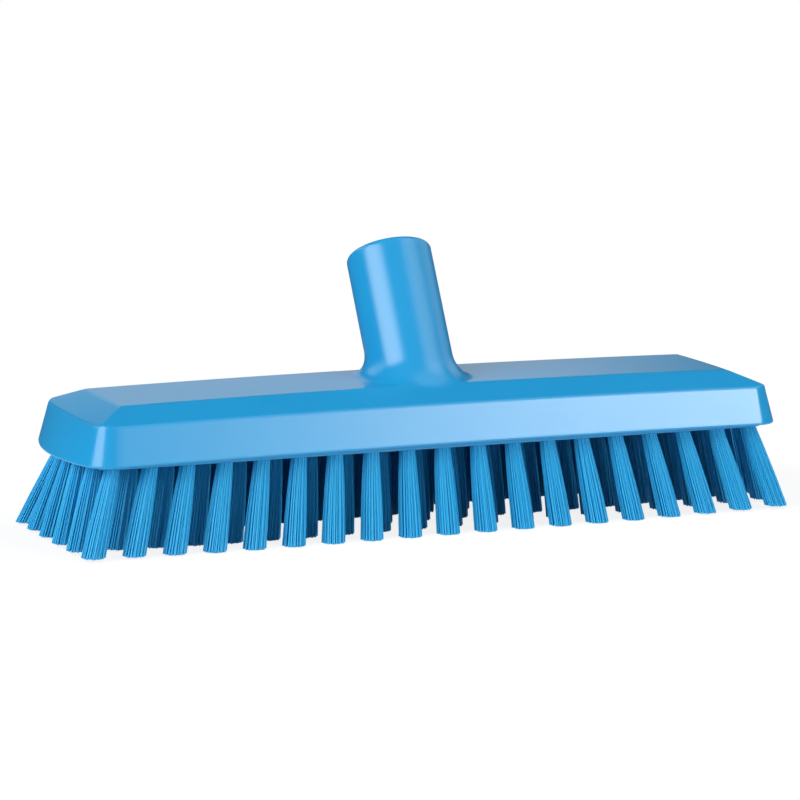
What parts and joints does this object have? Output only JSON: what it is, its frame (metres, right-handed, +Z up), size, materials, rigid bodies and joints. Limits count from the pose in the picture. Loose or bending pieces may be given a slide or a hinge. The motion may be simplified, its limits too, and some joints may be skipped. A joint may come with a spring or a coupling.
{
  "type": "water-fed scrub brush",
  "caption": "Floor and deck scrub brush head with a leaning handle socket, a hollow block that feeds water through a tuft plate, and flared rows of stiff bristle tufts",
  "frame": {"origin": "on the floor under the middle of the brush's bounding box, where the bristle tips stand", "axes": "+X along the block, +Y to the back, the way the handle socket leans, +Z up"},
  "size_m": [0.2712, 0.0726, 0.0994],
  "materials": {
    "block": "glossy injection-moulded blue",
    "bristles": "satin extruded blue filament",
    "seal": "matt black",
    "anchors": "drawn stainless wire"
  },
  "bodies": {
    "root": {"block_shell": "block", "socket_seal": "seal", "tuft_plate": "block", "bristles_front_row": "bristles", "bristles_inner_front": "bristles", "bristles_inner_back": "bristles", "bristles_back_row": "bristles", "anchor_front_01": "anchors", "anchor_front_02": "anchors", "anchor_front_03": "anchors", "anchor_front_04": "anchors", "anchor_front_05": "anchors", "anchor_front_06": "anchors", "anchor_front_07": "anchors", "anchor_front_08": "anchors", "anchor_front_09": "anchors", "anchor_front_10": "anchors", "anchor_front_11": "anchors", "anchor_front_12": "anchors", "anchor_front_13": "anchors", "anchor_front_14": "anchors", "anchor_front_15": "anchors", "anchor_front_16": "anchors", "anchor_front_17": "anchors", "anchor_front_18": "anchors", "anchor_front_19": "anchors", "anchor_back_01": "anchors", "anchor_back_02": "anchors", "anchor_back_03": "anchors", "anchor_back_04": "anchors", "anchor_back_05": "anchors", "anchor_back_06": "anchors", "anchor_back_07": "anchors", "anchor_back_08": "anchors", "anchor_back_09": "anchors", "anchor_back_10": "anchors", "anchor_back_11": "anchors", "anchor_back_12": "anchors", "anchor_back_13": "anchors", "anchor_back_14": "anchors", "anchor_back_15": "anchors", "anchor_back_16": "anchors", "anchor_back_17": "anchors", "anchor_back_18": "anchors", "anchor_back_19": "anchors", "anchor_back_20": "anchors"}
  },
  "joints": []
}
